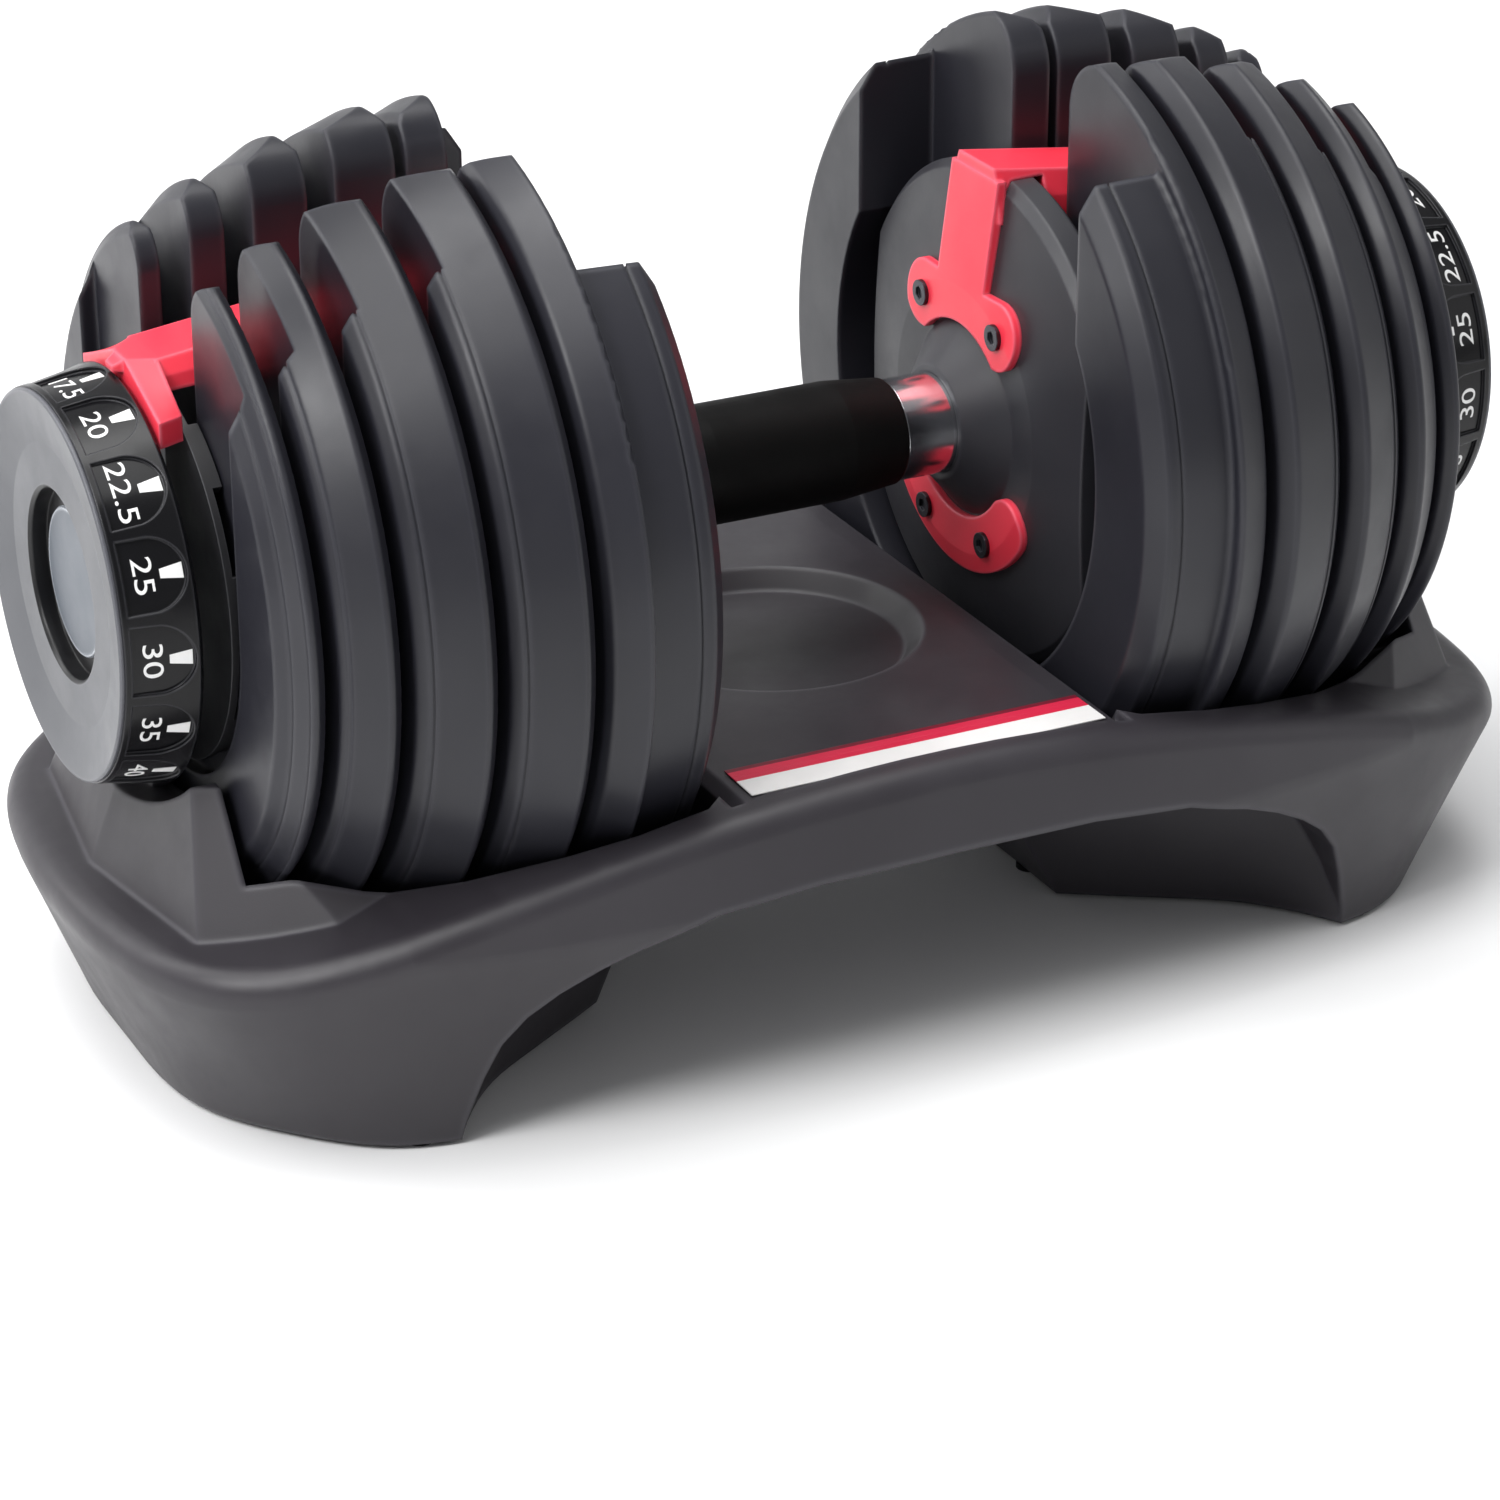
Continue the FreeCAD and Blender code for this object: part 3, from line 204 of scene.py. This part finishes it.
def moulded(name, dark, light, rough, grain=0.12, rounding=0.0012, edge=None, specular=0.5,
            pit_shade=None):
    """Moulded plastic: fine spark-eroded grain, soft colour drift and paler edges, which are a
    painted highlight.

    The pit colour is painted shade: a near-black colour on the wall round the button, inside the
    pit radius of the axis.
    """
    m = Nodes(name)
    drift = m.noise(9.0, 3.0)
    fine = m.noise(2600.0, 2.0)
    colour = m.ramp(drift, dark, light)
    # Painted highlight: edges are mixed towards the paler edge colour, standing in for light
    # caught on the rounded edges.
    if edge is not None:
        colour = m.mix(m.edges(rounding * 1.6), colour, edge)
    # Painted shade: near black on the cap's pit wall round the button, where shade falls in the
    # recess.
    if pit_shade is not None:
        colour = m.mix(m.near_axis(PIT_SHADE_RADIUS), colour, pit_shade)
    handling = m.noise(38.0, 6.0, 0.62)
    m.bump([(fine, grain, 0.00012), (m.noise(140.0, 3.0), 0.04, 0.0004)], rounding)
    m.set(Base_Color=colour, Roughness=m.ramp(handling, *rough),
          Specular_IOR_Level=specular)
    return m.material


def steel(name, base, rough, scale=(1.0, 60.0, 60.0)):
    """Metal, brushed along X unless its scale is even."""
    m = Nodes(name)
    brushed = m.noise(90.0, 4.0, 0.6, stretch=scale)
    m.bump([(brushed, 0.08, 0.0002)], 0.0004)
    m.set(Base_Color=m.ramp(m.noise(30.0, 3.0), [c * 0.86 for c in base], base), Metallic=1.0,
          Roughness=m.ramp(brushed, *rough))
    return m.material


def rubber(name, base, grain):
    """Matt rubber with a fine grain and slightly paler patches."""
    m = Nodes(name)
    m.bump([(m.noise(900.0, 3.0), grain, 0.0002)], 0.0008)
    m.set(Base_Color=m.ramp(m.noise(25.0, 4.0), base, [c * 1.7 for c in base]),
          Roughness=m.ramp(m.noise(60.0, 5.0), 0.52, 0.68), Specular_IOR_Level=0.12)
    return m.material


def banded(name, red, white, edge):
    """The deck strip: a white band in front, a red band behind it and a dark back edge."""
    m = Nodes(name)
    axes = m.add("ShaderNodeSeparateXYZ")
    m.join(m.place, axes.inputs[0])
    in_white = m.compare(axes.outputs["Y"], "LESS_THAN", RED_BAND_START)
    in_edge = m.compare(axes.outputs["Y"], "GREATER_THAN", RED_BAND_START + RED_BAND_WIDTH)
    red = m.ramp(m.noise(60.0, 4.0), red, [c * 0.93 for c in red])
    white = m.ramp(m.noise(45.0, 4.0), white, [c * 0.92 for c in white])
    colour = m.mix(in_white, red, white)
    m.bump([(m.noise(800.0, 2.0), 0.03, 0.0001)], 0.0003)
    m.set(Base_Color=m.mix(in_edge, colour, edge),
          Roughness=m.ramp(m.noise(80.0, 4.0), 0.3, 0.42))
    return m.material


# Each edge colour below is a painted highlight on rounded edges.
MATERIALS = {
    "tray": moulded("tray_plastic", (0.024, 0.021, 0.026), (0.031, 0.028, 0.034),
                    rough=(0.38, 0.50), grain=0.16, rounding=0.0022, edge=(0.055, 0.052, 0.062)),
    "plate": moulded("plate_plastic", (0.0145, 0.0145, 0.0195), (0.0205, 0.0205, 0.0275),
                     rough=(0.32, 0.43), rounding=0.0016, edge=(0.045, 0.045, 0.055),
                     specular=0.42),
    "disc": moulded("disc_plastic", (0.020, 0.020, 0.025), (0.028, 0.028, 0.034),
                    rough=(0.40, 0.52), rounding=0.0012, edge=(0.04, 0.04, 0.048)),
    "coral": moulded("coral_plastic", (0.84, 0.030, 0.058), (0.91, 0.044, 0.080),
                     rough=(0.36, 0.46), rounding=0.0012, edge=(0.96, 0.12, 0.18)),
    # The cap's pit colour is painted shade in the recess round the button.
    "cap": moulded("cap_plastic", (0.055, 0.058, 0.067), (0.073, 0.076, 0.087),
                   rough=(0.28, 0.38), rounding=0.0008, edge=(0.15, 0.15, 0.17),
                   specular=0.4, pit_shade=(0.006, 0.006, 0.007)),
    # The button's near-white edge colour is a painted highlight on its rim.
    "button": moulded("button_plastic", (0.066, 0.080, 0.102), (0.086, 0.100, 0.122),
                      rough=(0.3, 0.4), rounding=0.0011, edge=(0.70, 0.73, 0.78)),
    "dial": moulded("dial_plastic", (0.004, 0.004, 0.005), (0.006, 0.006, 0.007),
                    rough=(0.16, 0.26), grain=0.03, rounding=0.0006, edge=(0.04, 0.04, 0.045),
                    specular=0.25),
    "selector": moulded("selector_paint", (0.010, 0.010, 0.012), (0.016, 0.016, 0.018),
                        rough=(0.35, 0.5), grain=0.05, rounding=0.0004, edge=(0.05, 0.05, 0.055)),
    "grip": rubber("grip_rubber", (0.0015, 0.0015, 0.0015), 0.10),
    "foot": rubber("foot_rubber", (0.010, 0.010, 0.010), 0.2),
    "chrome": steel("bright_steel", (0.74, 0.75, 0.78), (0.10, 0.20)),
    "screw": steel("dark_screw", (0.06, 0.06, 0.07), (0.25, 0.40), (1.0, 1.0, 1.0)),
    "zinc": steel("zinc_steel", (0.52, 0.53, 0.55), (0.28, 0.42)),
    "core": steel("plate_steel", (0.22, 0.22, 0.23), (0.4, 0.6)),
    "bearing": steel("bearing_steel", (0.50, 0.51, 0.53), (0.35, 0.5)),
    "label": banded("label_film", (0.62, 0.018, 0.060), (0.82, 0.81, 0.80), (0.16, 0.006, 0.02)),
    "paint": moulded("white_paint", (0.85, 0.85, 0.84), (0.92, 0.92, 0.91), rough=(0.35, 0.5),
                     grain=0.02, rounding=0.0002),
}

NODE_LOOKS = {"tray": "tray", "rubber_feet": "foot", "deck_label": "label",
              "handle_tube": "chrome", "grip": "grip", "bracket_screws": "screw",
              "bearing_screws": "screw", "detent_pins": "zinc", "lock_springs": "zinc"}
END_LOOKS = {"inner_disc": "disc", "bridge": "coral", "lower_bracket": "coral",
             "bearing_plate": "bearing", "dial_ring": "dial", "dial_cap": "cap",
             "dial_button": "button", "selector_shaft": "zinc", "shaft_nut": "zinc",
             "lock_pin": "zinc"}
for plate in PLATES:
    END_LOOKS[f"plate_{plate}_shell"] = "plate"
    END_LOOKS[f"plate_{plate}_core"] = "core"
    END_LOOKS[f"selector_disc_{plate}"] = "selector"
for side, _ in SIDES:
    NODE_LOOKS.update({f"{side}_{part}": look for part, look in END_LOOKS.items()})
for node, look in NODE_LOOKS.items():
    for slot in NODES[node].material_slots:
        slot.material = MATERIALS[look]


# ------------------------------------------------------------------ printed marks
def flat_text(text, height):
    """A number's mesh, centred, lying in its own XY plane."""
    curve = bpy.data.curves.new("number", "FONT")
    curve.body = text
    curve.size = height * FONT_SIZE_PER_HEIGHT
    curve.align_x = "CENTER"
    curve.align_y = "CENTER"
    curve.resolution_u = FONT_RESOLUTION
    holder = bpy.data.objects.new("number", curve)
    bpy.context.scene.collection.objects.link(holder)
    bpy.context.view_layer.update()
    mesh = bpy.data.meshes.new_from_object(holder)
    bpy.data.objects.remove(holder)
    bpy.data.curves.remove(curve)
    return mesh


def pocket_floor(along):
    """Radius of the floor of the dial's number pockets at this distance along the handle."""
    (back, back_radius), (front, front_radius) = POCKET_FLOOR_BACK, POCKET_FLOOR_FRONT
    return back_radius + (front_radius - back_radius) * (along - back) / (front - back)


def on_ring(sign, angle, along, across, lift):
    """A point on the dial: along the handle, and a distance round from the mark's angle."""
    radius = pocket_floor(along)
    turn = math.radians(angle) + across / radius
    radius += lift
    return Vector((sign * along, -radius * math.sin(turn), AXIS_HEIGHT + radius * math.cos(turn)))


def add_object(name, bm, material):
    """Makes a mesh object from bm, which is freed."""
    mesh = bpy.data.meshes.new(name)
    bm.to_mesh(mesh)
    bm.free()
    mesh.materials.append(material)
    piece = bpy.data.objects.new(name, mesh)
    bpy.context.scene.collection.objects.link(piece)
    return piece


def slice_across(bm, step):
    """Cuts a flat mark into narrow strips, so that it can bend round the dial."""
    reach = max(abs(vertex.co.x) for vertex in bm.verts)
    for index in range(-int(reach / step), int(reach / step) + 1):
        geometry = list(bm.verts) + list(bm.edges) + list(bm.faces)
        bmesh.ops.bisect_plane(bm, geom=geometry, dist=1e-7, plane_co=(index * step, 0, 0),
                               plane_no=(1, 0, 0))


def wrap(bm, sign, angle, centre):
    """Bends a flat mark round the dial: its own up points to the plates."""
    slice_across(bm, STRIP_WIDTH)
    raised = bmesh.ops.extrude_face_region(bm, geom=list(bm.faces))["geom"]
    top = {item for item in raised if isinstance(item, bmesh.types.BMVert)}
    for vertex in bm.verts:
        lift = PAINT_HEIGHT if vertex in top else -PAINT_HEIGHT
        across = -sign * vertex.co.x
        vertex.co = on_ring(sign, angle, centre - vertex.co.y, across, lift)
    bmesh.ops.recalc_face_normals(bm, faces=bm.faces)


def number_form(setting):
    """One number, flat and stretched along its reading direction."""
    bm = bmesh.new()
    bm.from_mesh(flat_text(setting, NUMBER_HEIGHT))
    bmesh.ops.scale(bm, vec=(NUMBER_STRETCH, 1, 1), verts=bm.verts)
    return bm


def wedge_form():
    """The tapered mark between a number and the plates."""
    bm = bmesh.new()
    end = WEDGE_HALF_LENGTH
    narrow, wide = WEDGE_HALF_WIDTHS
    corners = [(-narrow, -end), (narrow, -end), (wide, end), (-wide, end)]
    bm.faces.new([bm.verts.new((x, y, 0)) for x, y in corners])
    return bm


def number_marks(side, sign):
    """All the dial's numbers as one piece, and all its wedges as another."""
    numbers, wedges = bmesh.new(), bmesh.new()
    for index, setting in enumerate(SETTINGS):
        angle = (index - REST_SETTING) * SETTING_PITCH + FIRST_NUMBER_ANGLE
        for all_marks, form, centre in ((numbers, number_form(setting), NUMBER_CENTRE),
                                        (wedges, wedge_form(), WEDGE_CENTRE)):
            wrap(form, sign, angle, centre)
            mesh = bpy.data.meshes.new("mark")
            form.to_mesh(mesh)
            form.free()
            all_marks.from_mesh(mesh)
    for name, bm in ((f"{side}_numbers", numbers), (f"{side}_wedges", wedges)):
        piece = add_object(name, bm, MATERIALS["paint"])
        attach(piece, f"{side}_dial")


for side, sign in SIDES:
    number_marks(side, sign)


# ------------------------------------------------------------------ floor, light, camera
def floor_material():
    m = Nodes("floor_paper")
    m.bump([(m.noise(350.0, 3.0), 0.02, 0.0003)])
    m.set(Base_Color=m.ramp(m.noise(2.0, 2.0), (0.83, 0.83, 0.835), (0.86, 0.86, 0.86)),
          Roughness=m.ramp(m.noise(50.0, 3.0), 0.8, 0.9))
    return m.material


def make_floor():
    """A wide floor that sweeps up into a backdrop far behind the object."""
    profile = [(-FLOOR_REACH, 0.0), (SWEEP_START, 0.0)]
    for step in range(1, SWEEP_STEPS + 1):
        turn = math.pi / 2 * step / SWEEP_STEPS
        profile.append((SWEEP_START + SWEEP_RADIUS * math.sin(turn),
                        SWEEP_RADIUS - SWEEP_RADIUS * math.cos(turn)))
    profile.append((SWEEP_START + SWEEP_RADIUS, BACKDROP_TOP))
    bm = bmesh.new()
    rows = [[bm.verts.new((x, y, z)) for y, z in profile] for x in (-FLOOR_REACH, FLOOR_REACH)]
    for index in range(len(profile) - 1):
        bm.faces.new((rows[0][index], rows[1][index], rows[1][index + 1], rows[0][index + 1]))
    floor = add_object("floor", bm, floor_material())
    for polygon in floor.data.polygons:
        polygon.use_smooth = True


def place_light(light, place, direction):
    holder = bpy.data.objects.new(light.name, light)
    holder.location = place
    holder.rotation_euler = direction.to_track_quat("-Z", "Y").to_euler()
    bpy.context.scene.collection.objects.link(holder)


def add_area_light(name, place, size, power):
    light = bpy.data.lights.new(name, "AREA")
    light.shape = "RECTANGLE"
    light.size, light.size_y = size
    light.energy = power
    place_light(light, place, Vector(LIGHT_TARGET) - Vector(place))


def add_sky_light():
    """A soft light from above that falls evenly on the floor, however far it reaches."""
    light = bpy.data.lights.new("sky", "SUN")
    light.energy = SKY_STRENGTH
    light.angle = SKY_SPREAD
    place_light(light, (0, 0, 0), Vector(SKY_DIRECTION))


def make_world():
    world = bpy.data.worlds.new("studio")
    world.use_nodes = True
    background = world.node_tree.nodes["Background"]
    background.inputs["Color"].default_value = (*WORLD_COLOUR, 1)
    background.inputs["Strength"].default_value = WORLD_STRENGTH
    bpy.context.scene.world = world
    bpy.context.scene.view_settings.view_transform = "Standard"


def make_camera():
    """A camera at the photograph's angle, distance and framing."""
    level = math.cos(CAMERA_ELEVATION)
    back = Vector((math.sin(CAMERA_AZIMUTH) * level, -math.cos(CAMERA_AZIMUTH) * level,
                   math.sin(CAMERA_ELEVATION)))
    camera = bpy.data.cameras.new("camera")
    camera.lens = CAMERA_LENS
    camera.sensor_width = CAMERA_SENSOR
    holder = bpy.data.objects.new("camera", camera)
    holder.location = Vector(CAMERA_TARGET) + back * CAMERA_DISTANCE
    roll = Matrix.Rotation(-CAMERA_ROLL, 3, "Z")
    holder.rotation_euler = ((-back).to_track_quat("-Z", "Y").to_matrix() @ roll).to_euler()
    bpy.context.scene.collection.objects.link(holder)
    bpy.context.scene.camera = holder


make_floor()
make_world()
for light in AREA_LIGHTS:
    add_area_light(*light)
add_sky_light()
make_camera()
